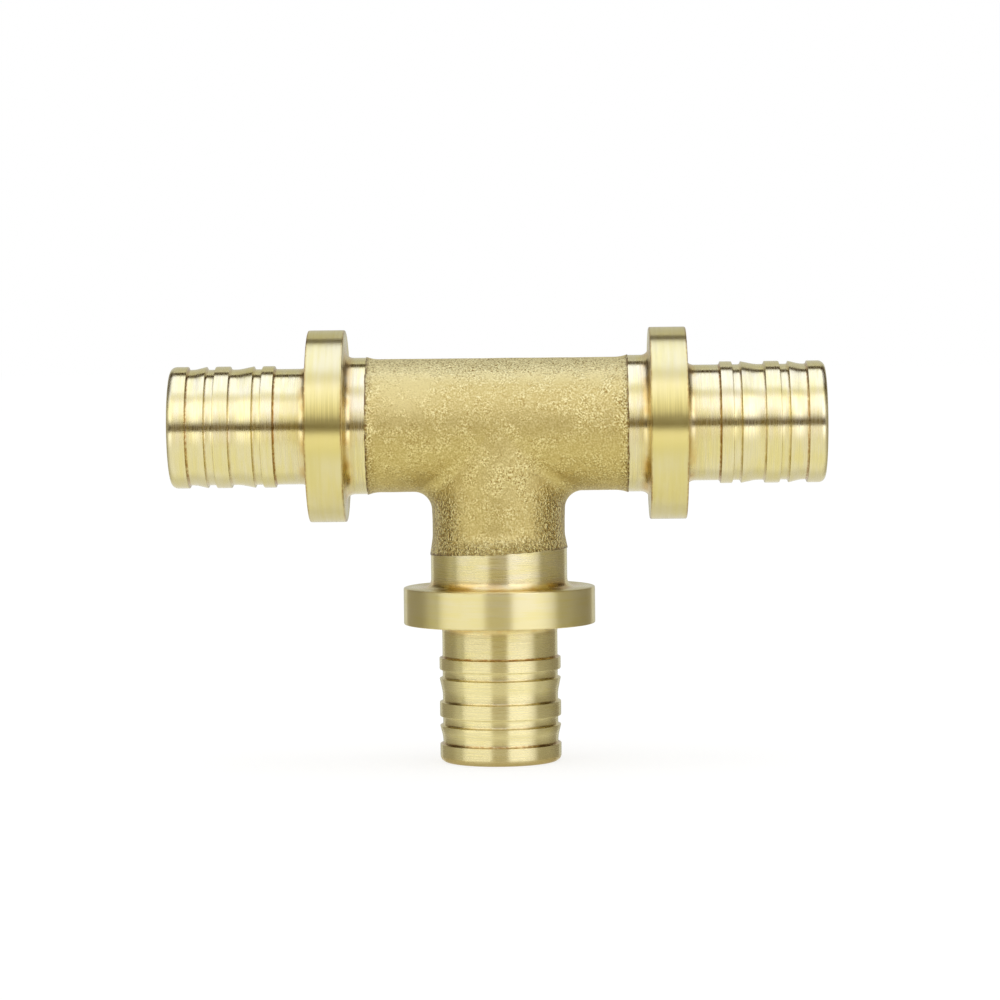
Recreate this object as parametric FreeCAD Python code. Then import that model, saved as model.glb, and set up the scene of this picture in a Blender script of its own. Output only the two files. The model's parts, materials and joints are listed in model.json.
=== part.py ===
import FreeCAD, Part
import math
import os

# A brass tee for plastic pipe that is widened, pushed over a barbed spigot and held there by a sliding sleeve.
# It is one forging: the run and the branch are left as forged, and the three ends are turned.
# The run lies along X, the branch points down along -Z, and their axes cross at the origin.
# All sizes are in millimetres.

# Spigots, the same on all three arms
barb_diameter = 18.0       # over the rings and teeth that grip the pipe
groove_depth = 0.45        # from the rings down to the grooves and to the plain land
spigot_wall = 2.05         # metal left under the grooves, around the bore

# Lengths along a spigot, in order from its collar to its mouth
land_length = 5.0
inner_ring_width = 1.8
inner_ring_groove = 1.25
inner_tooth_width = 2.15
inner_tooth_groove = 1.35
middle_ring_width = 2.2
middle_ring_groove = 1.3
outer_tooth_width = 1.75
outer_tooth_groove = 1.0
tip_ring_width = 2.7

# Collars that the sleeves stop against, and the turned necks behind them
collar_thickness = 5.45
collar_height = 4.1        # from the neck up to the rim
neck_rise = 0.25           # from the forged run up to the turned necks
run_neck_length = 3.2
branch_neck_length = 5.35

# Forged body
run_diameter = 19.7
branch_step = 0.05         # how much less the branch's radius is than the run's
run_reach = 22.4           # from the tee's centre to the back of each run collar
branch_reach = 24.0        # from the tee's centre to the back of the branch collar
run_flare_length = 1.2     # over which the forging swells to meet a turned neck
branch_flare_length = 2.3
lip_height = 0.05          # how far the forging stands proud where the turning tool stopped

# Rounded and broken edges
saddle_fillet = 2.65       # where the branch grows out of the run
root_fillet = 1.2          # on both sides of each collar
flare_rounding = 5.0
collar_edge = 0.2
ring_rounding = 0.2        # on the side of a ring that faces the mouth
tip_rounding = 1.0         # outer edge of the mouth
mouth_chamfer = 0.5        # inner edge of the mouth

barb_radius = barb_diameter / 2
groove_radius = barb_radius - groove_depth
bore_radius = groove_radius - spigot_wall
run_radius = run_diameter / 2
branch_radius = run_radius - branch_step
neck_radius = run_radius + neck_rise
collar_radius = neck_radius + collar_height


def ring(start, width):
    """Corners of a ring, square towards the collar and rounded towards the mouth."""
    return [
        (start, groove_radius, 0),
        (start, barb_radius, 0),
        (start + width, barb_radius, ring_rounding),
        (start + width, groove_radius, 0),
    ]


def tooth(start, width):
    """Corners of a saw tooth, square towards the collar, that slopes down towards the mouth."""
    return [
        (start, groove_radius, 0),
        (start, barb_radius, 0),
        (start + width, groove_radius, 0),
    ]


# Each feature that grips the pipe, its width, and the groove that follows it
grips = [
    (ring, inner_ring_width, inner_ring_groove),
    (tooth, inner_tooth_width, inner_tooth_groove),
    (ring, middle_ring_width, middle_ring_groove),
    (tooth, outer_tooth_width, outer_tooth_groove),
]
spigot_length = land_length + sum(width + groove for _, width, groove in grips) + tip_ring_width
run_tip = run_reach + collar_thickness + spigot_length
branch_tip = branch_reach + collar_thickness + spigot_length


def rounded_face(corners):
    """Face in the XY plane through corners given as (x, y, radius), where radius 0 stays sharp.

    A radius is limited so that its arc uses at most half of each side beside it.
    """
    arcs = []
    for index, (x, y, radius) in enumerate(corners):
        corner = FreeCAD.Vector(x, y, 0)
        before = FreeCAD.Vector(*corners[index - 1][:2], 0) - corner
        after = FreeCAD.Vector(*corners[(index + 1) % len(corners)][:2], 0) - corner
        if radius == 0:
            arcs.append((corner, None, corner))
            continue
        half_angle = before.getAngle(after) / 2
        setback = min(radius / math.tan(half_angle), before.Length / 2, after.Length / 2)
        before.normalize()
        after.normalize()
        inward = (before + after).normalize()
        depth = setback / math.cos(half_angle) - setback * math.tan(half_angle)
        arcs.append((corner + before * setback, corner + inward * depth, corner + after * setback))
    edges = []
    for index, (start, middle, end) in enumerate(arcs):
        if middle is not None:
            edges.append(Part.Arc(start, middle, end).toShape())
        following = arcs[(index + 1) % len(arcs)][0]
        if end.distanceToPoint(following) > 1e-7:
            edges.append(Part.LineSegment(end, following).toShape())
    return Part.Face(Part.Wire(edges))


def turned_about_x(corners):
    """Solid swept once around the X axis by an outline."""
    axis_point = FreeCAD.Vector(0, 0, 0)
    axis = FreeCAD.Vector(1, 0, 0)
    return rounded_face(corners).revolve(axis_point, axis, 360)


def arm_root(reach, neck_length, flare_length):
    """Distance from the tee's centre at which an arm takes over from the plain forged barrel."""
    return reach - neck_length - 2 * flare_length


def arm(reach, neck_length, flare_length, barrel_radius):
    """One arm along +X: the forging's flare, the turned neck, the collar and the barbed spigot."""
    root = arm_root(reach, neck_length, flare_length)
    forging_end = reach - neck_length
    lip_radius = neck_radius + lip_height
    collar_front = reach + collar_thickness
    corners = [
        (root, 0, 0),
        (root, barrel_radius, 0),
        (forging_end - flare_length, barrel_radius, flare_rounding),
        (forging_end, lip_radius, 0),
        (forging_end, neck_radius, 0),
        (reach, neck_radius, root_fillet),
        (reach, collar_radius, collar_edge),
        (collar_front, collar_radius, collar_edge),
        (collar_front, groove_radius, root_fillet),
    ]
    position = collar_front + land_length
    for grip, width, groove in grips:
        corners += grip(position, width)
        position += width + groove
    tip = position + tip_ring_width
    corners += [
        (position, groove_radius, 0),
        (position, barb_radius, 0),
        (tip, barb_radius, tip_rounding),
        (tip, 0, 0),
    ]
    return turned_about_x(corners)


def waterway(length):
    """Bore along +X from the tee's centre out through a mouth, with the mouth's chamfer."""
    return turned_about_x([
        (0, 0, 0),
        (0, bore_radius, 0),
        (length - mouth_chamfer, bore_radius, 0),
        (length, bore_radius + mouth_chamfer, 0),
        (length, 0, 0),
    ])


def pointed_to_minus_x(shape):
    """A shape made along +X, turned half way around to lie along -X."""
    turned = shape.copy()
    turned.rotate(FreeCAD.Vector(0, 0, 0), FreeCAD.Vector(0, 0, 1), 180)
    return turned


def pointed_down(shape):
    """A shape made along +X, turned a quarter to lie along -Z."""
    turned = shape.copy()
    turned.rotate(FreeCAD.Vector(0, 0, 0), FreeCAD.Vector(0, 1, 0), 90)
    return turned


def forged_barrels():
    """The plain barrels of the run and the branch, blended together by the fillet around the saddle."""
    run_half = arm_root(run_reach, run_neck_length, run_flare_length)
    branch_half = arm_root(branch_reach, branch_neck_length, branch_flare_length)
    run = Part.makeCylinder(run_radius, 2 * run_half, FreeCAD.Vector(-run_half, 0, 0), FreeCAD.Vector(1, 0, 0))
    branch = Part.makeCylinder(branch_radius, branch_half, FreeCAD.Vector(0, 0, 0), FreeCAD.Vector(0, 0, -1))
    barrels = run.fuse(branch)
    straight_or_round = ("Part::GeomLine", "Part::GeomCircle")
    saddle_edges = [edge for edge in barrels.Edges if edge.Curve.TypeId not in straight_or_round]
    return barrels.makeFillet(saddle_fillet, saddle_edges)


def tee_body():
    """The whole fitting: forged barrels, three turned arms, and the waterways bored through them."""
    run_arm = arm(run_reach, run_neck_length, run_flare_length, run_radius)
    branch_arm = arm(branch_reach, branch_neck_length, branch_flare_length, branch_radius)
    outside = forged_barrels().fuse([run_arm, pointed_to_minus_x(run_arm), pointed_down(branch_arm)])
    run_bore = waterway(run_tip)
    branch_bore = waterway(branch_tip)
    bores = [run_bore, pointed_to_minus_x(run_bore), pointed_down(branch_bore)]
    return outside.cut(bores)


os.makedirs("parts", exist_ok=True)
tee = tee_body()
if len(tee.Solids) != 1 or not tee.isValid():
    raise ValueError("the tee is not one sound solid")
tee.Solids[0].exportStep("parts/tee_body.step")
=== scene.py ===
import json
import math
from collections import namedtuple
import bmesh
import bpy
from bpy.props import FloatProperty, FloatVectorProperty, IntProperty, PointerProperty
from mathutils import Matrix, Vector, noise


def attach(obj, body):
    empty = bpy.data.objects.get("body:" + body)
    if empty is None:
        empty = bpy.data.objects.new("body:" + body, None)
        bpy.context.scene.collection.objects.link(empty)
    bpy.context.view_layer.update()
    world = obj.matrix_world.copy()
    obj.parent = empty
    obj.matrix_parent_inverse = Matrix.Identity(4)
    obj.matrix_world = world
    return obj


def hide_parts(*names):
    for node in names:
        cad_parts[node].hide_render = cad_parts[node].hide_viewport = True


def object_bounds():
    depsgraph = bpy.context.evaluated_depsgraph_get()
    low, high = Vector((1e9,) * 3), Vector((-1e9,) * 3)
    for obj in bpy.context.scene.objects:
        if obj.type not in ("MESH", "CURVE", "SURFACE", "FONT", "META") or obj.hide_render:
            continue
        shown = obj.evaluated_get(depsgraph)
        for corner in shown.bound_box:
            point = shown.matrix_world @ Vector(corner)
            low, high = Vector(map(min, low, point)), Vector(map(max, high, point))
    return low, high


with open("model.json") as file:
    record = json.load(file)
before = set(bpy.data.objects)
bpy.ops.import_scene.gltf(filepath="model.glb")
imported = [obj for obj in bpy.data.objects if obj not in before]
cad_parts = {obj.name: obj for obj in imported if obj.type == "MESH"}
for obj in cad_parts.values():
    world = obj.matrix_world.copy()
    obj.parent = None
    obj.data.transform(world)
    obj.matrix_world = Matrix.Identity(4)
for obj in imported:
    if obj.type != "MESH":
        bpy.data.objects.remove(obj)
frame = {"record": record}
cad_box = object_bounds()

bl_info = {
    "name": "Pex Sleeve Tee",
    "version": (1, 0, 0),
    "blender": (4, 5, 0),
    "location": "View3D > Sidebar > Tee",
    "description": "Models a forged brass tee with barbed spigots, and the studio that it stands in",
    "category": "Add Mesh",
}

MM = 0.001
X_AXIS = Vector((1, 0, 0))
Z_AXIS = Vector((0, 0, 1))
MOUNTS = {mount["name"]: mount for mount in frame["record"]["mounts"]}
FLOOR_LEVEL = cad_box[0].z

# Material slots of the tee
FORGED, TURNED_RUN, TURNED_BRANCH, BORED = range(4)


# Sizes and colours that a user would change


def size(name, description, millimetres):
    """A length that the panel shows, with a default in millimetres."""
    return FloatProperty(name=name, description=description, default=millimetres * MM, min=0.0,
                         unit="LENGTH", precision=5)


def shade(name, description, colour):
    """A colour that the panel shows."""
    return FloatVectorProperty(name=name, description=description, default=colour, subtype="COLOR",
                               min=0.0, max=4.0)


def factor(name, description, default):
    """A number from 0 to 1 that the panel shows."""
    return FloatProperty(name=name, description=description, default=default, min=0.0, max=1.0,
                         subtype="FACTOR")


def mirrored(name, what, colour):
    """The colour of a light panel or a card that only the brass shows."""
    return shade(name, f"Colour of {what}, as the brass shows it", colour)


class TeeSpigotSizes(bpy.types.PropertyGroup):
    """The barbed spigots, the same on all three arms."""

    barb_radius: size("Barb radius", "Radius over the rings and teeth that grip the pipe",
                      MOUNTS["left_spigot"]["dims"]["r_mm"])
    bore_radius: size("Bore radius", "Radius of the waterways", MOUNTS["run_bore"]["dims"]["r_mm"])
    groove_depth: size("Groove depth", "From the rings down to the grooves and the plain land", 0.45)
    land_length: size("Land length", "Plain length between the collar and the first ring", 5.0)
    inner_ring: size("Inner ring", "Width of the ring nearest the collar", 1.8)
    inner_ring_groove: size("Inner ring groove", "Groove that follows the inner ring", 1.25)
    inner_tooth: size("Inner tooth", "Width of the tooth that follows", 2.15)
    inner_tooth_groove: size("Inner tooth groove", "Groove that follows the inner tooth", 1.35)
    middle_ring: size("Middle ring", "Width of the middle ring", 2.2)
    middle_ring_groove: size("Middle ring groove", "Groove that follows the middle ring", 1.3)
    outer_tooth: size("Outer tooth", "Width of the outer tooth", 1.75)
    outer_tooth_groove: size("Outer tooth groove", "Groove that follows the outer tooth", 1.0)
    tip_ring: size("Tip ring", "Width of the ring at the mouth", 2.7)
    tip_rounding: size("Tip rounding", "Rounding of the mouth's outer edge", 1.0)
    mouth_chamfer: size("Mouth chamfer", "Chamfer of the mouth's inner edge", 0.5)


class TeeBodySizes(bpy.types.PropertyGroup):
    """The forged middle, the turned necks and the collars."""

    run_radius: size("Run radius", "Radius of the forged run", 9.85)
    branch_radius: size("Branch radius", "Radius of the forged branch where its arm begins", 9.8)
    neck_radius: size("Neck radius", "Radius of the turned necks behind the collars", 10.1)
    lip_radius: size("Lip radius", "Radius of the forging where the turning tool stopped", 10.15)
    lip_burr: size("Lip burr", "Height of the ragged burr where the turning tool stopped", 0.10)
    collar_radius: size("Collar radius", "Radius of the collars", 14.2)
    collar_thickness: size("Collar thickness", "Thickness of the collars", 5.45)
    run_reach: size("Run reach", "From the tee's centre to the back of a run collar", 22.4)
    branch_reach: size("Branch reach", "From the tee's centre to the back of the branch collar", 24.0)
    run_neck: size("Run neck", "Length of the turned necks on the run", 3.2)
    branch_neck: size("Branch neck", "Length of the turned neck on the branch", 5.35)
    run_flare: size("Run flare", "Length over which the run swells to meet its necks", 1.2)
    branch_flare: size("Branch flare", "Length over which the branch swells to meet its neck", 2.3)
    saddle_fillet: size("Saddle fillet", "Fillet where the branch grows out of the run", 2.65)
    root_fillet: size("Root fillet", "Fillet on both sides of each collar", 1.2)
    flare_rounding: size("Flare rounding", "Rounding where the flares begin", 5.0)
    collar_edge: size("Collar edge", "Rounding of the collars' rims", 0.2)
    ring_rounding: size("Ring rounding", "Rounding of a ring's edge on its mouth side", 0.2)
    broken_edge: size("Broken edge", "Rounding of the edges that look sharp", 0.10)
    corner_fillet: size("Corner fillet", "Fillet at the foot of a ring or tooth on its collar side", 0.37)
    crest_edge: size("Crest edge", "Rounding of the crest of a ring or tooth on its collar side", 0.07)
    tooth_heel: size("Tooth heel", "Rounding where a tooth's slope runs out into its groove", 4.5)
    segments: IntProperty(name="Segments", description="Faces around the run, the branch and the bores",
                          default=160, min=32, max=256, step=4)


class TeeFinish(bpy.types.PropertyGroup):
    """Colours and gloss of the brass."""

    turned: shade("Turned brass", "Brass where the tool has cut it", (0.785, 0.705, 0.40))
    turned_deep: shade("Turned brass, deep", "The deeper tint in the turned brass", (0.775, 0.68, 0.285))
    turned_rim: shade("Turned brass, rims", "The tint of the collars' rims", (0.735, 0.635, 0.205))
    # Brown lines of dirt and painted shade in the tight corners, at ring crests and along the collars'
    # edges
    turned_dirt_and_shade_line: shade("Turned brass, lines", "The brown lines in the tight corners", (0.38, 0.20, 0.05))
    # A duller, darker tint in a band a little above the middle height of the run collars' rims
    turned_dull_band: shade("Turned brass, worn", "The duller tint on the front of the run collars' rims",
                       (0.54, 0.45, 0.145))
    # A brown stain beside the collars, with painted shade in the fillets at their roots
    turned_stain_and_shade: shade("Turned brass, stain", "The brown tint beside the collars", (0.66, 0.46, 0.15))
    forged: shade("Forged brass", "The blasted grain between its crests and pits", (0.57, 0.455, 0.15))
    # The crest colour paints glints and highlights on the forging, the pit colour paints shade
    forged_highlight: shade("Forged brass, crests", "Crests of the blasted grain", (0.85, 0.755, 0.34))
    forged_shade: shade("Forged brass, pits", "Pits of the blasted grain", (0.30, 0.185, 0.036))
    # Painted shade along the ragged burr where the turning tool stopped
    forged_burr_shade: shade("Forged brass, rim", "The dark ragged line where the turning tool stopped",
                      (0.16, 0.09, 0.03))
    turned_roughness: factor("Turned roughness", "Roughness of the turned brass", 0.27)
    forged_roughness: factor("Forged roughness", "Roughness of the forged brass", 0.48)


class TeeStudio(bpy.types.PropertyGroup):
    """The floor, the lamp, the light panels and cards that the brass shows, and the camera."""

    floor: shade("Floor", "Colour of the pale floor", (0.30, 0.30, 0.30))
    floor_glow: factor("Floor glow", "How far the floor is lifted towards white where it is seen", 0.75)
    lamp: FloatProperty(name="Lamp", description="Power of the soft lamp over the floor, in watts",
                        default=1.6, min=0.0, max=100.0)
    room: FloatProperty(name="Room light", description="Brightness of the room around the tee",
                        default=0.85, min=0.0, max=4.0)
    left_light: mirrored("Left light", "the light panel on the left", (1.74, 1.75, 2.02))
    right_light: mirrored("Right light", "the light panel on the right", (2.02, 2.05, 2.60))
    front_light: mirrored("Front light", "the light panel above the camera", (1.22, 1.27, 1.95))
    top_light: mirrored("Top light", "the light panel overhead", (1.48, 1.59, 2.35))
    dark_card: mirrored("Dark cards", "the dark cards around the set", (0.06, 0.036, 0.014))
    front_card: mirrored("Front card", "the card behind the camera", (0.22, 0.16, 0.065))
    side_card: mirrored("Side cards", "the grey cards at the sides", (0.37, 0.34, 0.295))
    # A painted reflection of the floor in front, darker and browner than the floor
    foot_card: mirrored("Foot card", "the floor in front of the set", (0.38, 0.27, 0.03))
    # A painted contact shadow: the floor close to the mouth, darkened as the brass shows it
    contact_shadow_card: mirrored("Contact card", "the floor close to the mouth", (0.36, 0.25, 0.10))
    rear_card: mirrored("Rear card", "the card behind the tee", (0.62, 0.62, 0.58))
    lens: FloatProperty(name="Lens", description="Focal length of the camera, in millimetres",
                        default=134.2, min=20.0, max=300.0)


def own_properties(group):
    """Names of the properties that a group adds to those of Blender."""
    return [name for name in group.bl_rna.properties.keys() if name not in ("rna_type", "name")]


def in_millimetres(group):
    """The lengths of a property group as plain numbers in millimetres, by name."""
    return {name: getattr(group, name) / MM for name in own_properties(group) if name != "segments"}


# Mesh tools, all in millimetres

MERGE = 1e-3  # vertices closer together than this are one
ON_OUTLINE = 1e-4  # how far a spun vertex may lie from its corner
ON_PLANE = 1e-6  # how far a vertex may lie from a plane that cuts through it
ALONG = 0.99  # cosine between an edge and an axis that it runs along
SHARP_ANGLE = math.radians(40)
FILLET_STEPS = 12
BARREL_CUTS = 13  # cuts around a barrel between the saddle and its end
NARROW_BEVEL = 0.01  # width of the bevel that becomes the saddle's fillet
ROUNDING_STEP = 0.08  # reach of a rounding for each face across it
FEWEST_FACES, MOST_FACES = 2, 8
MOST_OF_SIDE = 0.84  # share of a side that a rounding may use up

# Strengths of the brown lines of dirt and painted shade at the foot and the crest of a ring or tooth, on
# its collar side
SPIGOT_LINES = {"inner_ring": (0.9, 0.6), "tip_ring": (0.8, 0.6)}
PLAIN_LINES = (0.35, 0.1)
MOUTH_SIDE_LINE = 0.3  # at the foot of a ring on its mouth side
LINE_REACH = 0.85  # share of its corner's rounding that a line reaches

Corner = namedtuple("Corner", "distance radius rounding line", defaults=(0, 0))
FORGING_END = 2  # the corner of an arm's outline where the turning tool stopped


def arm_outline(body, spigot, arm):
    """Corners of the arm "run" or "branch" along +X, from its root over the spigot to its bore."""
    radius, reach, neck, flare = (body[f"{arm}_{part}"] for part in ("radius", "reach", "neck", "flare"))
    barb_radius = spigot["barb_radius"]
    groove_radius = barb_radius - spigot["groove_depth"]
    forging_end = reach - neck
    front = reach + body["collar_thickness"]
    corners = [
        Corner(forging_end - 2 * flare, radius),
        Corner(forging_end - flare, radius, body["flare_rounding"]),
        Corner(forging_end, body["lip_radius"]),
        Corner(forging_end, body["neck_radius"]),
        Corner(reach, body["neck_radius"], body["root_fillet"]),
        Corner(reach, body["collar_radius"], body["collar_edge"]),
        Corner(front, body["collar_radius"], body["collar_edge"]),
        Corner(front, groove_radius, body["root_fillet"]),
    ]
    position = front + spigot["land_length"]
    for kind in ("inner_ring", "inner_tooth", "middle_ring", "outer_tooth", "tip_ring"):
        end = position + spigot[kind]
        foot_line, crest_line = SPIGOT_LINES.get(kind, PLAIN_LINES)
        corners += [Corner(position, groove_radius, body["corner_fillet"], foot_line),
                    Corner(position, barb_radius, body["crest_edge"], crest_line)]
        if kind == "tip_ring":
            corners.append(Corner(end, barb_radius, spigot["tip_rounding"]))
        elif kind.endswith("ring"):
            corners += [Corner(end, barb_radius, body["ring_rounding"]),
                        Corner(end, groove_radius, body["broken_edge"], MOUTH_SIDE_LINE)]
        else:
            corners.append(Corner(end, groove_radius, body["tooth_heel"]))
        position = end + spigot.get(kind + "_groove", 0)
    chamfer = spigot["mouth_chamfer"]
    corners += [Corner(end, spigot["bore_radius"] + chamfer, body["broken_edge"]),
                Corner(end - chamfer, spigot["bore_radius"])]
    return corners


def setback(before, corner, after):
    """How far a rounding reaches along the sides of its corner, which it never uses up."""
    to_before = Vector(before[:2]) - Vector(corner[:2])
    to_after = Vector(after[:2]) - Vector(corner[:2])
    half_angle = to_before.angle(to_after) / 2
    shorter_side = min(to_before.length, to_after.length)
    return min(corner.rounding / math.tan(half_angle), shorter_side * MOST_OF_SIDE)


def around_x(point):
    """Distance of a point from the X axis."""
    return math.hypot(point.y, point.z)


def comes_from(point, corner):
    """Whether a point of a spun outline comes from a corner of it."""
    return abs(point.x - corner.distance) < ON_OUTLINE and abs(around_x(point) - corner.radius) < ON_OUTLINE


def bevel(bm, edges, reach, steps):
    """Rounds edges, and returns the new faces."""
    result = bmesh.ops.bevel(bm, geom=edges, offset=reach, offset_type="OFFSET", affect="EDGES",
                             segments=steps, profile=0.5, material=-1, loop_slide=True)
    return result["faces"]


def turned_arm(corners, segments, turned_zone):
    """Mesh of an arm spun about X from its outline, with its corners rounded and its zones marked."""
    bm = bmesh.new()
    verts = [bm.verts.new((corner.distance, 0, corner.radius)) for corner in corners]
    edges = [bm.edges.new(pair) for pair in zip(verts, verts[1:])]
    bmesh.ops.spin(bm, geom=verts + edges, axis=X_AXIS, angle=2 * math.pi, steps=segments, use_merge=True)
    forging_end = corners[FORGING_END].distance - ON_OUTLINE
    for face in bm.faces:
        face.material_index = FORGED if face.calc_center_median().x < forging_end else turned_zone
    for before, corner, after in zip(corners, corners[1:], corners[2:]):
        if not corner.rounding:
            continue
        ring = [e for e in bm.edges if all(comes_from(v.co, corner) for v in e.verts)]
        reach = setback(before, corner, after)
        bevel(bm, ring, reach, max(FEWEST_FACES, min(MOST_FACES, round(reach / ROUNDING_STEP))))
    return bm


def join(bm, part, matrix=Matrix()):
    """Adds one bmesh to another, moved by a matrix."""
    mesh = bpy.data.meshes.new("part")
    part.to_mesh(mesh)
    mesh.transform(matrix)
    bm.from_mesh(mesh)
    bpy.data.meshes.remove(mesh)


def tube(bm, start, axis, length, radius, segments):
    """Open tube of four-sided faces from a point along an axis."""
    turn = Vector(axis).to_track_quat("Z", "Y").to_matrix().to_4x4()
    middle = Matrix.Translation(Vector(start) + Vector(axis) * length / 2)
    bmesh.ops.create_cone(bm, cap_ends=False, segments=segments, radius1=radius, radius2=radius,
                          depth=length, matrix=middle @ turn)


def cut(bm, faces, normal):
    """Cuts faces where a plane through the origin crosses them."""
    geom = list({v for f in faces for v in f.verts} | {e for f in faces for e in f.edges}) + faces
    bmesh.ops.bisect_plane(bm, geom=geom, plane_no=normal, dist=ON_PLANE)


def keep(bm, wanted):
    """Deletes the faces whose middle isn't wanted."""
    unwanted = [f for f in bm.faces if not wanted(f.calc_center_median())]
    bmesh.ops.delete(bm, geom=unwanted, context="FACES")


def crossing_tubes(run_half, branch_length, radius, segments):
    """A run along X and a branch down along -Z of the same radius, cut where they meet."""
    run = bmesh.new()
    tube(run, (-run_half, 0, 0), X_AXIS, 2 * run_half, radius, segments)
    cut(run, run.faces[:], X_AXIS)
    branch = bmesh.new()
    tube(branch, (0, 0, 0), -Z_AXIS, branch_length, radius, segments)
    for side in (1, -1):
        for bm in (run, branch):
            middles = [(f, f.calc_center_median()) for f in bm.faces]
            below = [f for f, middle in middles if middle.z < 0 and middle.x * side > 0]
            cut(bm, below, (1, 0, side))
    keep(run, lambda middle: -middle.z < abs(middle.x))
    keep(branch, lambda middle: -middle.z > abs(middle.x))
    join(run, branch)
    bmesh.ops.remove_doubles(run, verts=run.verts[:], dist=MERGE)
    bmesh.ops.recalc_face_normals(run, faces=run.faces[:])
    return run


def on_saddle(point):
    """Whether a point lies on the planes where the two tubes meet."""
    return abs(abs(point.x) + point.z) < MERGE


def forged_barrels(body, run_half, branch_half, segments):
    """The plain barrels of the run and the branch, with the fillet around the saddle."""
    radius = body["run_radius"]
    bm = crossing_tubes(run_half, branch_half, radius, segments)
    saddle = [e for e in bm.edges if len(e.link_faces) == 2 and all(on_saddle(v.co) for v in e.verts)]
    strip = bevel(bm, saddle, NARROW_BEVEL, FILLET_STEPS)
    roll_ball(bm, {v for f in strip for v in f.verts}, radius, body["saddle_fillet"], segments)
    narrowing = body["branch_radius"] / radius
    for vert in bm.verts:
        if vert.co.z < -branch_half + MERGE:
            vert.co = Vector((vert.co.x * narrowing, vert.co.y * narrowing, vert.co.z))
    long_edges = [e for e in bm.edges if runs_along(e, run_half, branch_half)]
    bmesh.ops.subdivide_edges(bm, edges=long_edges, cuts=BARREL_CUTS, use_grid_fill=True)
    for face in bm.faces:
        face.material_index = FORGED
    return bm


def roll_ball(bm, verts, radius, fillet, segments):
    """Widens a narrow bevel along the saddle to the fillet that a ball rolled along it would leave."""
    step = 2 * math.pi / segments
    stations = {}
    for vert in verts:
        side = 1 if vert.co.x > 0 else -1
        station = round(math.atan2(vert.co.y, (abs(vert.co.x) - vert.co.z) / 2) / step)
        stations.setdefault((side, station), []).append(vert)
    reach = radius + fillet
    front_and_back = []
    for (side, station), ring in stations.items():
        if abs(station) * 4 >= segments:
            front_and_back += ring
            continue
        angle = station * step
        width = reach * math.cos(angle)
        centre = Vector((side * width, reach * math.sin(angle), -width))
        to_run = Vector((0, -centre.y, width)) / reach
        to_branch = Vector((-side * width, -centre.y, 0)) / reach
        ring.sort(key=lambda v: abs(v.co.x) + v.co.z)
        for index, vert in enumerate(ring):
            vert.co = centre + to_branch.slerp(to_run, index / (len(ring) - 1)) * fillet
    for vert in front_and_back:
        vert.co = Vector((0, math.copysign(radius, vert.co.y), 0))
    bmesh.ops.remove_doubles(bm, verts=front_and_back, dist=MERGE)


def runs_along(edge, run_half, branch_half):
    """Whether an edge runs along a barrel and ends at the barrel's end."""
    first, second = (v.co for v in edge.verts)
    along = (second - first).normalized()
    if max(abs(first.x), abs(second.x)) > run_half - MERGE and abs(along.x) > ALONG:
        return True
    return min(first.z, second.z) < -branch_half + MERGE and abs(along.z) > ALONG


def arm_place(point):
    """Whether a point belongs to the branch, and its distance along its arm and from the arm's axis."""
    if -point.z > abs(point.x):
        return True, -point.z, math.hypot(point.x, point.y)
    return False, abs(point.x), around_x(point)


def mark_lines(bm, run, branch):
    """Marks the middles of the tight corners of the turned arms that show a brown line of dirt and painted
    shade.
    """
    line = bm.verts.layers.float.new("line")
    turned = {v for f in bm.faces if f.material_index in (TURNED_RUN, TURNED_BRANCH) for v in f.verts}
    for vert in turned:
        on_branch, distance, radius = arm_place(vert.co)
        for corner in branch if on_branch else run:
            away = math.hypot(distance - corner.distance, radius - corner.radius)
            if corner.line and away < LINE_REACH * corner.rounding:
                vert[line] = corner.line


# The forging's unevenness and the ragged line where the turning tool stopped, in millimetres

SKIN_HEIGHT = 0.025
SKIN_WAVES = ((1.0, 4.5, 3.0), (0.5, 2.0, 8.0))  # share of the height, wavelength and seed
SKIN_FADE = 2.5  # length over which the unevenness dies out towards the line
SKIN_DEPTH = 0.2  # how far under the branch's radius the skin still moves
COLLAR_DEPTH = 3.9  # how far under the collar's radius it stops moving
BURR_WIDTH = 0.02  # how far from the line the burr begins
BURR_SHARE = (0.6, 0.9)  # mean and spread of the burr, as shares of its height
BURR_WAVE = (0.9, 5.0)  # wavelength and seed
TOOL_WAVES = ((0.10, 3, 1.0), (0.07, 12, 2.0))  # height, scale around the arm and seed
BRANCH_TOOL_WAVE = (0.12, 1.5, 4.0)
BRANCH_TOOL_SLANT = 0.42  # how far the branch's line is tilted at its sides
RUN_ENDS_APART = 5  # makes the waves of the run's two ends differ
RUN_FOLLOWS = (2.0, 1.6)  # how far the mesh before and behind the line follows it
BRANCH_FOLLOWS = (4.0, 3.4)
FAR_FROM_LINE = -10.0  # marks the vertices that aren't part of the skin


def ripple(point, scale, seed):
    """Smooth noise between about -1 and 1."""
    return noise.noise(Vector(point) / scale + Vector((seed, seed * 1.7, -seed)))


def tool_wander(point, on_branch):
    """How far the line where the turning tool stopped strays along its arm, near a point."""
    if on_branch:
        around = Vector((point.x, point.y, 0)).normalized()
        side = Vector()
    else:
        around = Vector((0, point.y, point.z)).normalized()
        side = Vector((math.copysign(RUN_ENDS_APART, point.x), 0, 0))
    wander = sum(height * ripple(around * scale + side, 1.0, seed) for height, scale, seed in TOOL_WAVES)
    if on_branch:
        height, scale, seed = BRANCH_TOOL_WAVE
        wander += height * ripple(around * scale, 1.0, seed) - BRANCH_TOOL_SLANT * around.x
    return wander


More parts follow.
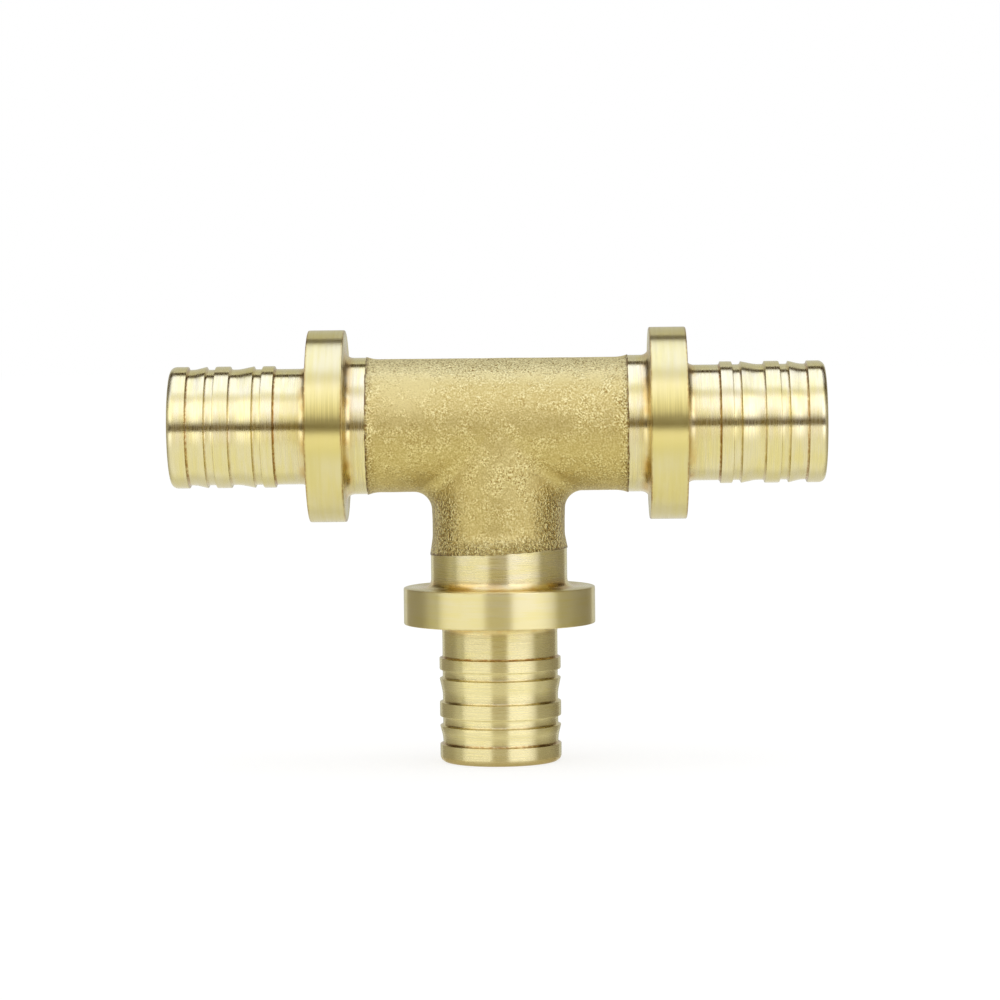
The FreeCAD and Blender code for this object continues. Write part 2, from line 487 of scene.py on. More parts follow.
def uneven_forging(bm, body, run_end, branch_end):
    """Leaves the forging a little uneven, and the lines where the turning tool stopped a little ragged."""
    from_edge = bm.verts.layers.float.new("from_edge")
    forged = {v for f in bm.faces if f.material_index == FORGED for v in f.verts}
    innermost = body["branch_radius"] - SKIN_DEPTH
    outermost = body["collar_radius"] - COLLAR_DEPTH
    bm.normal_update()
    for vert in bm.verts:
        vert[from_edge] = FAR_FROM_LINE
        on_branch, distance, radius = arm_place(vert.co)
        if radius < innermost or radius > outermost:
            continue
        away = distance - (branch_end if on_branch else run_end)
        vert[from_edge] = away
        if vert in forged:
            fade = min(1.0, max(0.0, -away / SKIN_FADE))
            waves = sum(share * ripple(vert.co, scale, seed) for share, scale, seed in SKIN_WAVES)
            vert.co += vert.normal * SKIN_HEIGHT * fade * waves
            if away > -BURR_WIDTH:
                mean, spread = BURR_SHARE
                burr = body["lip_burr"] * (mean + spread * ripple(vert.co, *BURR_WAVE))
                vert.co += vert.normal * burr
        before, behind = BRANCH_FOLLOWS if on_branch else RUN_FOLLOWS
        room = 1 - (away / behind if away > 0 else -away / before)
        if room <= 0:
            continue
        near = room * room * (3 - 2 * room)
        shift = tool_wander(vert.co, on_branch) * near
        if on_branch:
            vert.co.z -= shift
        else:
            vert.co.x += math.copysign(shift, vert.co.x)


def tee_mesh(body, spigot, segments):
    """The whole tee as one closed mesh."""
    run = arm_outline(body, spigot, "run")
    branch = arm_outline(body, spigot, "branch")
    bm = forged_barrels(body, run[0].distance, branch[0].distance, segments)
    run_arm = turned_arm(run, segments, TURNED_RUN)
    join(bm, run_arm)
    join(bm, run_arm, Matrix.Rotation(math.pi, 4, "Z"))
    join(bm, turned_arm(branch, segments, TURNED_BRANCH), Matrix.Rotation(math.pi / 2, 4, "Y"))
    waterways = crossing_tubes(run[-1].distance, branch[-1].distance, spigot["bore_radius"], segments)
    for face in waterways.faces:
        face.material_index = BORED
    join(bm, waterways)
    bmesh.ops.remove_doubles(bm, verts=bm.verts[:], dist=MERGE)
    bmesh.ops.recalc_face_normals(bm, faces=bm.faces[:])
    mark_lines(bm, run, branch)
    uneven_forging(bm, body, run[FORGING_END].distance, branch[FORGING_END].distance)
    return bm


def smooth_faces(bm):
    """Shades a mesh smooth apart from its sharp edges. Raises an error if the mesh isn't closed."""
    for face in bm.faces:
        face.smooth = True
    for edge in bm.edges:
        if len(edge.link_faces) != 2:
            raise ValueError("the tee isn't closed")
        edge.smooth = edge.calc_face_angle() < SHARP_ANGLE


# Node tools

Socket = bpy.types.NodeSocket
MIX_COLOURS, MIX_RESULT = (6, 7), 2  # sockets of a mix node for its two colours and their mix


def fill(node, inputs):
    """Links or sets inputs of a node, by name or by number."""
    for name, value in inputs.items():
        if isinstance(value, Socket):
            node.id_data.links.new(value, node.inputs[name])
        else:
            node.inputs[name].default_value = value


def add(tree, kind, inputs=(), **settings):
    """Adds a shader node of a kind, sets it up and links or sets its inputs."""
    node = tree.nodes.new("ShaderNode" + kind)
    for name, value in settings.items():
        setattr(node, name, value)
    fill(node, dict(inputs))
    return node


def tree_of(*values):
    """The node tree that the first node output among some values belongs to."""
    return next(value.id_data for value in values if isinstance(value, Socket))


def calc(operation, *values):
    """Output of a math node."""
    return add(tree_of(*values), "Math", dict(enumerate(values)), operation=operation).outputs[0]


def times(first, *others):
    """Product of values."""
    for other in others:
        first = calc("MULTIPLY", first, other)
    return first


def highest(first, *others):
    """Highest of some values."""
    for other in others:
        first = calc("MAXIMUM", first, other)
    return first


def vector_calc(operation, *values, scale=None):
    """Output of a vector math node: the number that it gives, or its vector."""
    inputs = dict(enumerate(values))
    if scale is not None:
        inputs["Scale"] = scale
    node = add(tree_of(*values, scale), "VectorMath", inputs, operation=operation)
    return node.outputs["Value" if operation in ("LENGTH", "DOT_PRODUCT") else "Vector"]


def ramp(value, low, high, to_low=0.0, to_high=1.0, kind="SMOOTHSTEP"):
    """A step between two values, smooth unless its kind says otherwise."""
    limits = {"Value": value, "From Min": low, "From Max": high, "To Min": to_low, "To Max": to_high}
    return add(value.id_data, "MapRange", limits, interpolation_type=kind).outputs["Result"]


def mix_colour(share, first, second):
    """Output of a colour mix, with each colour given as an output or as red, green and blue."""
    inputs = {"Factor": share}
    for index, colour in zip(MIX_COLOURS, (first, second)):
        inputs[index] = colour if isinstance(colour, Socket) else (*colour, 1.0)
    return add(share.id_data, "Mix", inputs, data_type="RGBA").outputs[MIX_RESULT]


def noise_of(vector, scale, detail, roughness):
    """Output of a noise texture, around 0.5."""
    inputs = {"Vector": vector, "Scale": scale, "Detail": detail, "Roughness": roughness}
    return add(vector.id_data, "TexNoise", inputs).outputs["Fac"]


def spots(vector, texture, strengths):
    """A noise texture, turned into strengths by a smooth step."""
    return ramp(noise_of(vector, *texture), *strengths)


def attribute(tree, name):
    """A number that the mesh holds for each of its vertices."""
    return add(tree, "Attribute", attribute_name=name).outputs["Fac"]


def object_place(tree):
    """A point's place on the tee, in millimetres."""
    return vector_calc("SCALE", add(tree, "TexCoord").outputs["Object"], scale=1 / MM)


def new_material(name):
    """A material, its node tree, and the Principled shader in it."""
    material = bpy.data.materials.new(name)
    material.use_nodes = True
    return material, material.node_tree, material.node_tree.nodes["Principled BSDF"]


# Turned brass, in millimetres

# A noise is its waves per millimetre, its detail and its roughness. A range is the two values where a
# smooth step begins and ends, and the strengths there if not 0 and 1.
RUN_WEAR = 0.9  # how marked and yellowed the turned brass of the run is
BRANCH_WEAR = 0.5
FINE_MARKS = (0.16, 1.2, 0.0)  # pitch, change around the arm, and offset
COARSE_MARKS = (0.7, 1.6, 20.0)
MARKS_NOISE = (1.0, 2.0, 0.6)
MARKS_ON_FACES = 1.618  # marks across a face square to the axis, for each along it
MARKS_RELIEF = (0.7, 1.6)  # of the fine and the coarse marks
MARKS_GLOSS = (0.35, 0.65)
MARKS_ROUGHNESS = (-0.035, 0.045)  # least and most that the fine marks add
RIM_ROUGHNESS = 0.09
BORE_ROUGHNESS = 0.1
CLOUDS = (0.16, 2.0, 0.5)
TINT = (0.35, 0.65)
SPIGOT_TINT = (1.4, -1.5)  # without wear, and what wear adds
RIM_RADIUS = (12.5, 14.0)
RIM_YELLOW = (0.65, 0.35)  # in the band across its front, and all around
BAND_TOP = (8.0, 3.0)
BAND_FOOT = (-6.0, -2.5)
# The duller band on the collars' rims, a little above their middle height
DULL_BAND_TOP = (7.0, 1.8)
DULL_BAND_FOOT = (0.5, 1.5)
DULL_BAND_MARKS = (0.40, 0.60, 0.5, 1.0)
# Stain and painted shade beside a collar, over the fillet at its root
STAIN_AND_SHADE_REACH = (1.7, 0.5)  # out from a collar's side
STAIN_AND_SHADE_EDGE = (-0.3, -0.1)
STAIN_AND_SHADE_RADIUS = (12.8, 11.5)
STAIN_AND_SHADE_SPOTS = ((0.30, 2.0, 0.5), (0.40, 0.58, 0.3, 0.9))
# The brown line of dirt and painted shade along a collar's edge
RIM_LINE = (0.34, 0.06)  # away from a collar's edge
RIM_LINE_RADIUS = (13.85, 14.0)
LINE_PATCHES = ((0.16, 1.0, 0.5), (0.40, 0.55, 0.4, 1.0))
LINE_DOTS = ((1.8, 2.0, 0.6), (0.38, 0.58, 0.45, 1.0))


class Lathe:
    """Node outputs that say where a point lies on an arm that was turned about an axis."""

    def __init__(self, tree, axis, collar):
        self.place = object_place(tree)
        across = vector_calc("MULTIPLY", self.place, tuple(1 - c for c in axis))
        self.outward = vector_calc("NORMALIZE", across)
        self.radius = vector_calc("LENGTH", across)
        distance = vector_calc("DOT_PRODUCT", self.place, tuple(axis))
        along = calc("ADD", distance, times(self.radius, MARKS_ON_FACES))
        self.marked_place = vector_calc("SCALE", tuple(axis), scale=along)
        self.distance = calc("ABSOLUTE", distance)
        from_middle = calc("ABSOLUTE", calc("SUBTRACT", self.distance, sum(collar) / 2))
        self.outside = calc("SUBTRACT", from_middle, (collar[1] - collar[0]) / 2)
        self.height = add(tree, "SeparateXYZ", {"Vector": self.place}).outputs["Z"]
        self.rim = ramp(self.radius, *RIM_RADIUS)
        self.line = attribute(tree, "line")


def lathe_marks(lathe, pitch, change, offset):
    """Noise that changes quickly along the axis and slowly around it."""
    quick = vector_calc("SCALE", lathe.marked_place, scale=1 / pitch)
    slow = vector_calc("SCALE", lathe.outward, scale=change)
    place = vector_calc("ADD", vector_calc("ADD", quick, slow), (offset, offset, offset))
    return noise_of(place, *MARKS_NOISE)


def turned_tint(lathe, coarse, collar, wear):
    """Where the deeper tint lies: in clouds, and beyond the collar where there is little wear."""
    clouds = noise_of(lathe.place, *CLOUDS)
    tint = ramp(calc("ADD", times(coarse, 0.5), times(clouds, 0.5)), *TINT)
    plain, per_wear = SPIGOT_TINT
    return highest(tint, ramp(lathe.distance, *collar, 0.0, plain + per_wear * wear))


def rim_yellow(lathe, wear):
    """Where a collar's rim is yellowed: all around, and most in a band across its front."""
    band = times(ramp(lathe.height, *BAND_TOP), ramp(lathe.height, *BAND_FOOT))
    in_band, around = RIM_YELLOW
    return times(lathe.rim, calc("MULTIPLY_ADD", band, wear * in_band, wear * around))


def rim_dull_band(lathe, fine):
    """Where a collar's rim is duller: in a band a little above its middle height, broken up by the lathe
    marks.
    """
    worn = times(ramp(lathe.height, *DULL_BAND_TOP), ramp(lathe.height, *DULL_BAND_FOOT))
    return times(worn, ramp(fine, *DULL_BAND_MARKS), lathe.rim)


def collar_stain_and_shade(lathe):
    """Where the brass beside a collar is stained and darkened by painted shade in the fillet at the
    collar's root.
    """
    beside = times(ramp(lathe.outside, *STAIN_AND_SHADE_REACH), ramp(lathe.outside, *STAIN_AND_SHADE_EDGE))
    stained = times(beside, spots(lathe.place, *STAIN_AND_SHADE_SPOTS))
    return times(stained, ramp(lathe.radius, *STAIN_AND_SHADE_RADIUS))


def dirt_and_shade_lines(lathe, wear):
    """Where the brown lines of dirt and painted shade lie: in the corners that the mesh marks, and along
    the collars' edges.
    """
    edge = ramp(calc("ABSOLUTE", lathe.outside), *RIM_LINE)
    edge = times(edge, ramp(lathe.radius, *RIM_LINE_RADIUS))
    patches = spots(lathe.place, *LINE_PATCHES)
    edge = times(edge, times(patches, wear ** 2))
    dots = spots(lathe.place, *LINE_DOTS)
    return times(highest(lathe.line, edge), dots)


def turned_brass(name, axis, finish, collar, wear, bored=False):
    """Brass with the fine rings of a lathe around an axis, and a collar between two distances along it."""
    material, tree, shader = new_material(name)
    lathe = Lathe(tree, axis, collar)
    fine = lathe_marks(lathe, *FINE_MARKS)
    coarse = lathe_marks(lathe, *COARSE_MARKS)
    tint = turned_tint(lathe, coarse, collar, wear)
    colour = mix_colour(tint, finish.turned, finish.turned_deep)
    colour = mix_colour(rim_yellow(lathe, wear), colour, finish.turned_rim)
    # A duller band a little above the middle height of the collars' rims
    colour = mix_colour(rim_dull_band(lathe, fine), colour, finish.turned_dull_band)
    # Stain and painted shade beside the collars
    colour = mix_colour(collar_stain_and_shade(lathe), colour, finish.turned_stain_and_shade)
    # Brown lines of dirt and painted shade in the corners and along the collars' edges
    colour = mix_colour(dirt_and_shade_lines(lathe, wear), colour, finish.turned_dirt_and_shade_line)
    fine_share, coarse_share = MARKS_RELIEF
    relief = calc("ADD", times(fine, fine_share), times(coarse, coarse_share))
    depth = {"Height": relief, "Distance": 0.0042 * wear * MM, "Strength": 1.0}
    roundabout = vector_calc("CROSS_PRODUCT", tuple(axis), lathe.outward)
    normal = add(tree, "NewGeometry").outputs["Normal"]
    roughness = finish.turned_roughness + (BORE_ROUGHNESS if bored else 0.0)
    smoothest, roughest = (roughness + more for more in MARKS_ROUGHNESS)
    gloss = ramp(fine, *MARKS_GLOSS, smoothest, roughest)
    fill(shader, {
        "Metallic": 1.0,
        "Anisotropic": 0.95,
        "Base Color": colour,
        "Normal": add(tree, "Bump", depth).outputs["Normal"],
        "Tangent": vector_calc("CROSS_PRODUCT", roundabout, normal),
        "Roughness": calc("ADD", gloss, times(lathe.rim, wear * RIM_ROUGHNESS)),
    })
    return material


# Forged brass, with noises and ranges as for the turned brass

GRAIN = (3.9, 2.0, 0.55)
# Crests of the grain and the flakes are painted pale as glints, and their pits painted dark as shade
GRAIN_CREST = (0.50, 0.62)
GRAIN_PIT = (0.47, 0.34, 0.0, 0.7)
FLAKES = (2.9, 2.0, 0.6)
FLAKE_CREST = (0.50, 0.63)
FLAKE_PIT = (0.50, 0.40)
PATCHES = ((0.45, 3.0, 0.6), (0.40, 0.62, 0.32, 0.82))
ON_BRANCH = (-8.0, -12.0)  # height
NEAR_RUN_LINE = (-1.6, -0.2, 0.0, 0.6)  # distance from the turning tool's line
NEAR_BRANCH_LINE = (-3.2, -0.3)
FLANK = (3.5, 8.0)  # sideways from the branch's axis
FLANK_DEPTH = (0.0, 4.5, 0.35, 1.0)  # forwards or backwards from its axis
TOP_GRAIN = (6.5, 9.5, 0.0, 1.1)  # height
# Painted highlights: on the forging's top, by height, and beside the branch's line
TOP_HIGHLIGHT = (5.5, 8.5, 0.0, 0.5)
LINE_HIGHLIGHT = 0.25  # paleness beside the branch's line
# Painted shade beside the branch's line and on the branch's flanks
LINE_PIT_SHADE = 0.5  # strength of the flakes' pits there
FLANK_SHADE = 0.85  # and on the branch's flanks
# The dark ragged line is painted shade beside the burr
RAGGED_NOISE = (2.6, 2.0, 0.6)
RAGGED_DEPTH = -0.85  # how far the dark line reaches into the forging
DARK_LINE_END = -0.04
GAPS = ((1.6, 2.0, 0.6), (0.40, 0.52, 0.4, 1.0))
FRONT_GAP = (5.0, 9.0, 0.2, 1.0)  # fades the dark line near the branch's middle
FLAKE_RELIEF = 5.0
FLAKE_GLOSS = 0.24  # how much less rough the flakes are than the grain

# Spots of the forging, as centre, radius, paleness and how much smoother than the rest they are; the
# paleness is a painted highlight
FORGED_SPOTS = (
    ((-13.5, -7.5, 5.5), 7.0, 0.22, 0.2),
    ((2.0, -9.5, -7.0), 6.5, 0.15, -0.5),
    ((16.0, -8.0, 2.0), 6.0, 0.0, -0.6),
)
SPOT_CORE = 0.3  # share of a spot's radius where it is at its strongest


def grain_strength(place, height, near_run):
    """Strength of the grain, which varies in patches and spots, and how pale the forging is, a painted
    highlight on its top and in spots.
    """
    top = ramp(height, *TOP_GRAIN)
    patches = spots(place, *PATCHES)
    coarse = calc("ADD", patches, highest(near_run, top))
    pale = ramp(height, *TOP_HIGHLIGHT)
    for centre, radius, paleness, smoothness in FORGED_SPOTS:
        away = vector_calc("LENGTH", vector_calc("SUBTRACT", place, centre))
        spot = ramp(away, radius, radius * SPOT_CORE)
        pale = highest(pale, times(spot, paleness))
        coarse = times(coarse, calc("MULTIPLY_ADD", spot, -smoothness, 1.0))
    return coarse, pale


def burr_shade(place, edge, sideways):
    """Where the forging is darkened by painted shade beside the burr where the turning tool stopped."""
    ragged = times(noise_of(place, *RAGGED_NOISE), RAGGED_DEPTH)
    line = ramp(edge, ragged, DARK_LINE_END, kind="LINEAR")
    return times(line, times(spots(place, *GAPS), ramp(sideways, *FRONT_GAP)))


def forged_brass(finish):
    """Brass as forged and blasted with shot: a fine grain over a slightly uneven skin, whose sparkle is
    painted glints and painted shade.
    """
    material, tree, shader = new_material("forged_brass")
    place = object_place(tree)
    axes = add(tree, "SeparateXYZ", {"Vector": place}).outputs
    sideways, deepways = (calc("ABSOLUTE", axes[axis]) for axis in "XY")
    edge = attribute(tree, "from_edge")
    grain = noise_of(place, *GRAIN)
    flakes = noise_of(place, *FLAKES)
    on_branch = ramp(axes["Z"], *ON_BRANCH)
    on_run = calc("SUBTRACT", 1.0, on_branch)
    near_run = times(on_run, ramp(edge, *NEAR_RUN_LINE))
    near_branch = times(on_branch, ramp(edge, *NEAR_BRANCH_LINE))
    flank = times(on_branch, ramp(sideways, *FLANK), ramp(deepways, *FLANK_DEPTH))
    flaky = highest(near_branch, flank)
    coarse, pale = grain_strength(place, axes["Z"], near_run)
    # Painted glints on the crests, and painted highlights on the top, in spots and beside the branch's line
    crest = highest(times(ramp(grain, *GRAIN_CREST), coarse), times(ramp(flakes, *FLAKE_CREST), flaky),
                    pale, times(near_branch, LINE_HIGHLIGHT))
    # Painted shade beside the branch's line and on the branch's flanks
    deep = highest(times(near_branch, LINE_PIT_SHADE), times(flank, FLANK_SHADE))
    # Painted shade in the pits of the grain and the flakes
    pit = highest(times(ramp(grain, *GRAIN_PIT), coarse), times(ramp(flakes, *FLAKE_PIT), deep))
    colour = mix_colour(crest, finish.forged, finish.forged_highlight)
    colour = mix_colour(pit, colour, finish.forged_shade)
    # Painted shade along the burr where the turning tool stopped
    colour = mix_colour(burr_shade(place, edge, sideways), colour, finish.forged_burr_shade)
    relief = calc("MULTIPLY_ADD", times(flakes, flaky), FLAKE_RELIEF, times(grain, coarse))
    depth = {"Height": relief, "Distance": 0.17 * MM, "Strength": 1.0}
    roughest = finish.forged_roughness
    fill(shader, {
        "Metallic": 1.0,
        "Base Color": colour,
        "Normal": add(tree, "Bump", depth).outputs["Normal"],
        "Roughness": ramp(flaky, 0.0, 1.0, roughest, roughest - FLAKE_GLOSS),
    })
    return material


# Studio, in metres and degrees except where a comment says otherwise

CAMERA_PLACE = (7.82, -551.75, 15.86)  # millimetres
CAMERA_TARGET = (0.241, 0.0, -11.188)  # millimetres
CAMERA_ROLL = -0.617
WHITE = (1.0, 1.0, 1.0, 1.0)
CARD_STEP = 1.5  # size of a curved card's faces
SHARP_EDGE = 1e-4  # how far past its end a card still has cover

# Curved cards, as name, finish, distance from the tee's centre, bearings from the front and elevations that
# they lie between, lengths over which they fade at those four ends, and cover
CURVED_CARDS = (
    ("left_light", "left_light", 0.84, (-76, -14), (-35, 52), (0, 0, 30, 6), 1.0),
    ("right_light", "right_light", 0.84, (13, 76), (-35, 52), (0, 0, 30, 6), 1.0),
    ("front_light", "front_light", 0.82, (-22, 20), (18, 74), (0, 0, 16, 28), 1.0),
    ("left_card", "side_card", 0.80, (-150, -62), (-45, 55), (4, 46, 40, 5), 1.0),
    ("right_card", "side_card", 0.80, (52, 150), (-45, 55), (27, 4, 40, 5), 1.0),
    ("right_edge", "dark_card", 0.79, (110, 156), (-45, 12), (16, 6, 10, 4), 0.15),
    ("rear_card", "rear_card", 0.80, (150, 210), (-15, 50), (4, 4, 0, 10), 1.0),
    ("left_flag", "dark_card", 0.78, (-156, -90), (12, 54), (6, 8, 5, 4), 1.0),
    ("right_flag", "dark_card", 0.78, (86, 156), (12, 54), (8, 6, 5, 4), 1.0),
    ("front_strip", "dark_card", 0.76, (-95, 75), (-5.5, 15.5), (20, 20, 0, 13.5), 1.0),
    ("front_card", "front_card", 0.74, (-19.5, 18.5), (-5.5, 35), (4, 4, 0, 33), 1.0),
    # A painted reflection of the floor in front, darker and browner than the floor
    ("front_foot", "foot_card", 0.74, (-19.5, 18.5), (-42, -5.5), (4, 4, 28, 0), 0.55),
)

# Level cards, as name, finish, width, distances behind the tee that they lie between, lengths over which
# they fade at those two ends, height and cover
LEVEL_CARDS = (
    ("top_light", "top_light", 3.2, (-0.45, 0.436), (0.30, 0), 0.84, 1.0),
    ("rear_bar", "dark_card", 1.36, (0.161, 0.257), (0, 0), 0.30, 1.0),
    # A painted shadow on the floor behind the tee, which only the brass shows
    ("under_card", "dark_card", 0.5, (-0.002, 0.14), (0.02, 0.03), FLOOR_LEVEL, 0.22),
)

# The card around the branch's mouth, a painted contact shadow that only the brass shows, as the distances
# that it fades out between, height and cover
CONTACT_SHADOW_CARD = (0.0085, 0.014, FLOOR_LEVEL, 0.7)


def sheet_object(name, bm, material):
    """A stage object made from a bmesh in metres."""
    mesh = bpy.data.meshes.new(name)
    bm.to_mesh(mesh)
    bm.free()
    mesh.materials.append(material)
    thing = bpy.data.objects.new(name, mesh)
    bpy.context.scene.collection.objects.link(thing)
    return thing


def shown_rays(tree):
    """1 for the rays that show a background: from the camera, off metal or through glass."""
    path = add(tree, "LightPath").outputs
    return highest(path["Is Camera Ray"], path["Is Glossy Ray"], path["Is Transmission Ray"])


def floor_material(colour, glow):
    """Pale matt floor that shows as nearly white, with the tee's shadow left on it."""
    material, tree, shader = new_material("pale_floor")
    fill(shader, {
        "Base Color": (*colour, 1.0),
        "Roughness": 0.9,
        "Specular IOR Level": 0.0,
        "Emission Color": WHITE,
        "Emission Strength": times(shown_rays(tree), glow),
    })
    return material


def floor_sheet(colour, glow):
    """A pale floor under the tee."""
    bm = bmesh.new()
    bmesh.ops.create_grid(bm, x_segments=1, y_segments=1, size=4.0,
                          matrix=Matrix.Translation((0, 0, FLOOR_LEVEL)))
    floor = sheet_object("floor", bm, floor_material(colour, glow))
    floor.visible_glossy = False


def soft_lamp(power):
    """A wide lamp overhead that lights the floor and leaves the reflections to the cards."""
    data = bpy.data.lights.new("soft_lamp", "AREA")
    data.shape = "DISK"
    data.size = 0.8
    data.energy = power
    lamp = bpy.data.objects.new("soft_lamp", data)
    lamp.location = (0.0, 0.0, 1.0)
    lamp.visible_camera = lamp.visible_glossy = False
    bpy.context.scene.collection.objects.link(lamp)


def room_world(brightness):
    """A plain pale room, white where it is seen."""
    world = bpy.data.worlds.new("room")
    world.use_nodes = True
    tree = world.node_tree
    lift = times(shown_rays(tree), 1.0 - brightness)
    strength = calc("ADD", lift, brightness)
    fill(tree.nodes["Background"], {"Color": WHITE, "Strength": strength})
    return world


def card_material(name, colour):
    """A card that shows one colour in the brass, and is clear where it has no cover."""
    material, tree, shader = new_material(name)
    material.cycles.emission_sampling = "NONE"
    fill(shader, {
        "Base Color": (0.0, 0.0, 0.0, 1.0),
        "Specular IOR Level": 0.0,
        "Emission Color": (*colour, 1.0),
        "Emission Strength": 1.0,
        "Alpha": attribute(tree, "cover"),
    })
    return material


def ease(value, low, high):
    """A smooth step from 0 to 1, or a sharp one where both ends are the same."""
    if low == high:
        return 1.0 if value >= low else 0.0
    share = min(1.0, max(0.0, (value - low) / (high - low)))
    return share * share * (3 - 2 * share)


def fading(value, ends, fades):
    """The cover of a card at a place between its ends, which fades in and out over two lengths."""
    fade_in = ease(value, ends[0] - SHARP_EDGE, ends[0] + fades[0])
    fade_out = ease(value, ends[1] - fades[1], ends[1] + SHARP_EDGE)
    return fade_in * (1 - fade_out)


def card_object(name, bm, material, cover_at):
    """A stage object that only the brass sees, with the cover that a function gives for each vertex."""
    layer = bm.verts.layers.float.new("cover")
    for vert in bm.verts:
        vert[layer] = cover_at(vert.co)
    card = sheet_object(name, bm, material)
    card.visible_camera = card.visible_diffuse = card.visible_shadow = False


def curved_card(name, material, distance, bearings, elevations, fades, cover):
    """A card on a sphere around the tee, between two bearings from the front and two elevations."""
    bm = bmesh.new()
    width = bearings[1] - bearings[0]
    height = elevations[1] - elevations[0]
    rows = round(height / CARD_STEP)
    verts = []
    for row in range(rows + 1):
        elevation = math.radians(elevations[0] + height * row / rows)
        verts.append(bm.verts.new((0, -distance * math.cos(elevation), distance * math.sin(elevation))))
    edges = [bm.edges.new(pair) for pair in zip(verts, verts[1:])]
    to_first_bearing = Matrix.Rotation(math.radians(bearings[0]), 3, "Z")
    bmesh.ops.rotate(bm, matrix=to_first_bearing, verts=verts)
    bmesh.ops.spin(bm, geom=verts + edges, axis=Z_AXIS, angle=math.radians(width),
                   steps=round(width / CARD_STEP))

    def cover_at(point):
        """Cover at a point, whose bearing is counted past 180 degrees where the card goes there."""
        bearing = math.degrees(math.atan2(point.x, -point.y))
        if bearing < sum(bearings) / 2 - 180:
            bearing += 360
        elevation = math.degrees(math.asin(point.z / distance))
        return cover * fading(bearing, bearings, fades[:2]) * fading(elevation, elevations, fades[2:])

    card_object(name, bm, material, cover_at)


def level_card(name, material, width, ends, fades, height, cover):
    """A level card above or below the tee, between two distances behind it."""
    bm = bmesh.new()
    bmesh.ops.create_grid(bm, x_segments=1, y_segments=40, size=0.5)
    bmesh.ops.scale(bm, vec=(width, ends[1] - ends[0], 1), verts=bm.verts[:])
    bmesh.ops.translate(bm, vec=(0, sum(ends) / 2, height), verts=bm.verts[:])
    card_object(name, bm, material, lambda point: cover * fading(point.y, ends, fades))


def contact_shadow_card(name, material, inner, outer, height, cover):
    """A level card around the branch's mouth that fades out between two distances from its axis: a painted
    contact shadow.
    """
    bm = bmesh.new()
    bmesh.ops.create_grid(bm, x_segments=48, y_segments=48, size=outer)
    bmesh.ops.translate(bm, vec=(0, 0, height), verts=bm.verts[:])
    card_object(name, bm, material,
                lambda point: cover * (1 - ease(math.hypot(point.x, point.y), inner, outer)))


def studio_camera(lens):
    """The camera in front of the tee, where the photo's was."""
    data = bpy.data.cameras.new("camera")
    data.lens = lens
    data.sensor_width = 36.0
    data.clip_start = 0.01
    camera = bpy.data.objects.new("camera", data)
    place = Vector(CAMERA_PLACE) * MM
    turn = (Vector(CAMERA_TARGET) * MM - place).to_track_quat("-Z", "Y").to_matrix().to_4x4()
    roll = Matrix.Rotation(math.radians(CAMERA_ROLL), 4, "Z")
    camera.matrix_world = Matrix.Translation(place) @ turn @ roll
    bpy.context.scene.collection.objects.link(camera)
    return camera


# Operators


class TEE_OT_body(bpy.types.Operator):
    """Models the brass tee as one closed piece and gives it its finishes"""

    bl_idname = "tee.body"
    bl_label = "Brass tee"

    def execute(self, context):
        scene = context.scene
        sizes = in_millimetres(scene.tee_body)
        bm = tee_mesh(sizes, in_millimetres(scene.tee_spigot), scene.tee_body.segments)
        smooth_faces(bm)
        bmesh.ops.scale(bm, vec=(MM, MM, MM), verts=bm.verts[:])
        mesh = bpy.data.meshes.new("brass_tee")
        bm.to_mesh(mesh)
        thickness = sizes["collar_thickness"]
        run_collar = (sizes["run_reach"], sizes["run_reach"] + thickness)
        branch_collar = (sizes["branch_reach"], sizes["branch_reach"] + thickness)
        finish = scene.tee_finish
        for material in (forged_brass(finish),
                         turned_brass("turned_brass_run", X_AXIS, finish, run_collar, RUN_WEAR),
                         turned_brass("turned_brass_branch", Z_AXIS, finish, branch_collar, BRANCH_WEAR),
                         turned_brass("bored_brass", X_AXIS, finish, run_collar, RUN_WEAR, bored=True)):
            mesh.materials.append(material)
        tee = bpy.data.objects.new("brass_tee", mesh)
        scene.collection.objects.link(tee)
        tee.modifiers.new("even_shading", "WEIGHTED_NORMAL").keep_sharp = True
        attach(tee, "root")
        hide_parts("tee_body")
        return {"FINISHED"}


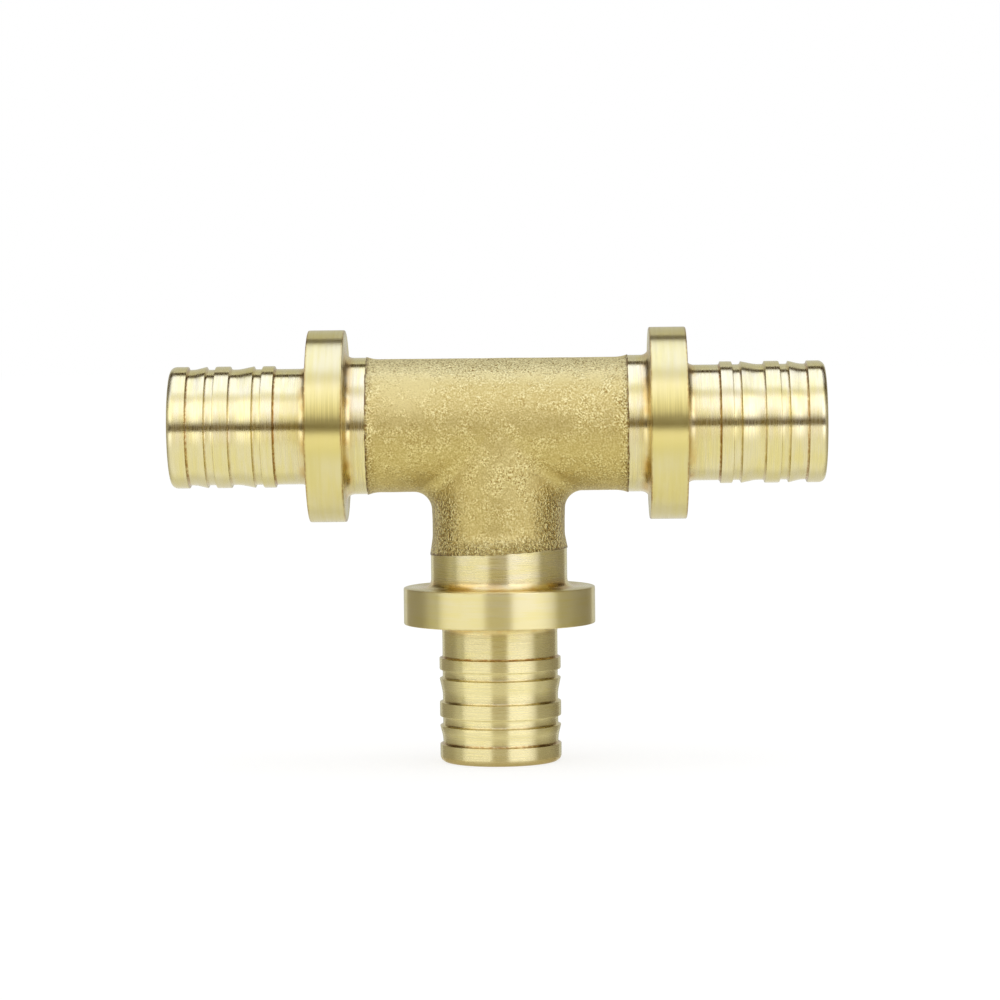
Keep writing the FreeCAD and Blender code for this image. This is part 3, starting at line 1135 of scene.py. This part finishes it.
class TEE_OT_stage(bpy.types.Operator):
    """Sets up the floor, the lamp, the light panels and cards, the room and the camera"""

    bl_idname = "tee.stage"
    bl_label = "Studio and camera"

    def execute(self, context):
        scene = context.scene
        studio = scene.tee_studio
        floor_sheet(studio.floor, studio.floor_glow)
        soft_lamp(studio.lamp)
        finishes = {name: card_material(name, getattr(studio, name)) for name in own_properties(studio)
                    if name.endswith(("_light", "_card"))}
        for name, finish, *shape in CURVED_CARDS:
            curved_card(name, finishes[finish], *shape)
        for name, finish, *shape in LEVEL_CARDS:
            level_card(name, finishes[finish], *shape)
        # The painted contact shadow around the mouth
        contact_shadow_card("contact_shadow_card", finishes["contact_shadow_card"], *CONTACT_SHADOW_CARD)
        scene.world = room_world(studio.room)
        scene.camera = studio_camera(studio.lens)
        scene.view_settings.view_transform = "Standard"
        return {"FINISHED"}


class TEE_PT_panel(bpy.types.Panel):
    """Lists the tee's operators and sizes"""

    bl_idname = "TEE_PT_panel"
    bl_label = "Pex sleeve tee"
    bl_space_type = "VIEW_3D"
    bl_region_type = "UI"
    bl_category = "Tee"

    def draw(self, context):
        layout = self.layout
        for operator in OPERATORS:
            layout.operator(operator.bl_idname)
        for name, _ in GROUPS:
            group = getattr(context.scene, name)
            box = layout.box()
            box.label(text=group.bl_rna.description)
            for key in own_properties(group):
                box.prop(group, key)


GROUPS = (("tee_spigot", TeeSpigotSizes), ("tee_body", TeeBodySizes), ("tee_finish", TeeFinish),
          ("tee_studio", TeeStudio))
OPERATORS = (TEE_OT_body, TEE_OT_stage)


def register():
    """Registers the property groups, the operators and the panel."""
    for name, group in GROUPS:
        bpy.utils.register_class(group)
        setattr(bpy.types.Scene, name, PointerProperty(type=group))
    for entry in OPERATORS + (TEE_PT_panel,):
        bpy.utils.register_class(entry)


def unregister():
    """Undoes what register does, in the opposite order."""
    for entry in reversed(OPERATORS + (TEE_PT_panel,)):
        bpy.utils.unregister_class(entry)
    for name, group in reversed(GROUPS):
        delattr(bpy.types.Scene, name)
        bpy.utils.unregister_class(group)


def main():
    """Builds the tee and its studio."""
    register()
    bpy.ops.tee.body()
    bpy.ops.tee.stage()


if __name__ == "__main__":
    main()
